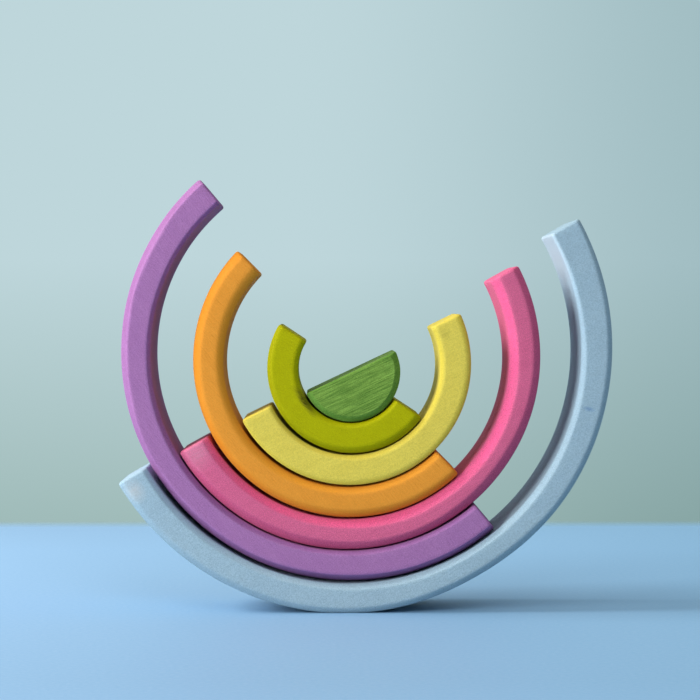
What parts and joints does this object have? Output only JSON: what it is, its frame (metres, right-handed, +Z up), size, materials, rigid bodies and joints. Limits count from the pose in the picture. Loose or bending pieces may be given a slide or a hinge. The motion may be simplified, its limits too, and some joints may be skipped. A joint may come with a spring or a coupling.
{
  "type": "rainbow stacker",
  "caption": "Stained wooden rainbow stacker: half-ring arches and a half disc lie in one another like cradles, tipped to alternate sides and balanced on the outer arch's round back.",
  "frame": {"origin": "on the table surface, in the middle of the stack's width and depth", "axes": "+X to the right along the stack's width, +Y to the back along the pieces' depth and their turning axes, +Z up"},
  "size_m": [0.1644, 0.04, 0.1442],
  "materials": {
    "sky_blue_stained_wood": "matt water stain, hand sanded",
    "purple_stained_wood": "matt water stain, hand sanded",
    "pink_stained_wood": "matt water stain, hand sanded",
    "orange_stained_wood": "matt water stain, hand sanded",
    "yellow_stained_wood": "matt water stain, hand sanded",
    "lime_stained_wood": "matt water stain, hand sanded",
    "green_stained_wood": "matt water stain, hand sanded"
  },
  "bodies": {
    "sky_blue_arch": {"sky_blue_arch": "sky_blue_stained_wood"},
    "purple_arch": {"purple_arch": "purple_stained_wood"},
    "pink_arch": {"pink_arch": "pink_stained_wood"},
    "orange_arch": {"orange_arch": "orange_stained_wood"},
    "yellow_arch": {"yellow_arch": "yellow_stained_wood"},
    "lime_arch": {"lime_arch": "lime_stained_wood"},
    "green_half_disc": {"green_half_disc": "green_stained_wood"}
  },
  "joints": [
    {"name": "purple_arch_rock", "type": "hinge", "parent": "sky_blue_arch", "child": "purple_arch", "pos_m": [-0.00529, 0, 0.08688], "axis": [0, -1, 0], "range_deg": [-10.3, 169.7]},
    {"name": "pink_arch_rock", "type": "hinge", "parent": "purple_arch", "child": "pink_arch", "pos_m": [-0.00618, 0, 0.08555], "axis": [0, -1, 0], "range_deg": [-168.7, 11.3]},
    {"name": "orange_arch_rock", "type": "hinge", "parent": "pink_arch", "child": "orange_arch", "pos_m": [-0.00515, 0, 0.08424], "axis": [0, -1, 0], "range_deg": [-15.8, 164.2]},
    {"name": "yellow_arch_rock", "type": "hinge", "parent": "orange_arch", "child": "yellow_arch", "pos_m": [-0.00535, 0, 0.08306], "axis": [0, -1, 0], "range_deg": [-161.3, 18.7]},
    {"name": "lime_arch_rock", "type": "hinge", "parent": "yellow_arch", "child": "lime_arch", "pos_m": [-0.00444, 0, 0.08164], "axis": [0, -1, 0], "range_deg": [-30.6, 149.4]},
    {"name": "green_half_disc_rock", "type": "hinge", "parent": "lime_arch", "child": "green_half_disc", "pos_m": [-0.00493, 0, 0.08011], "axis": [0, -1, 0], "range_deg": [-148.7, 31.3]}
  ]
}
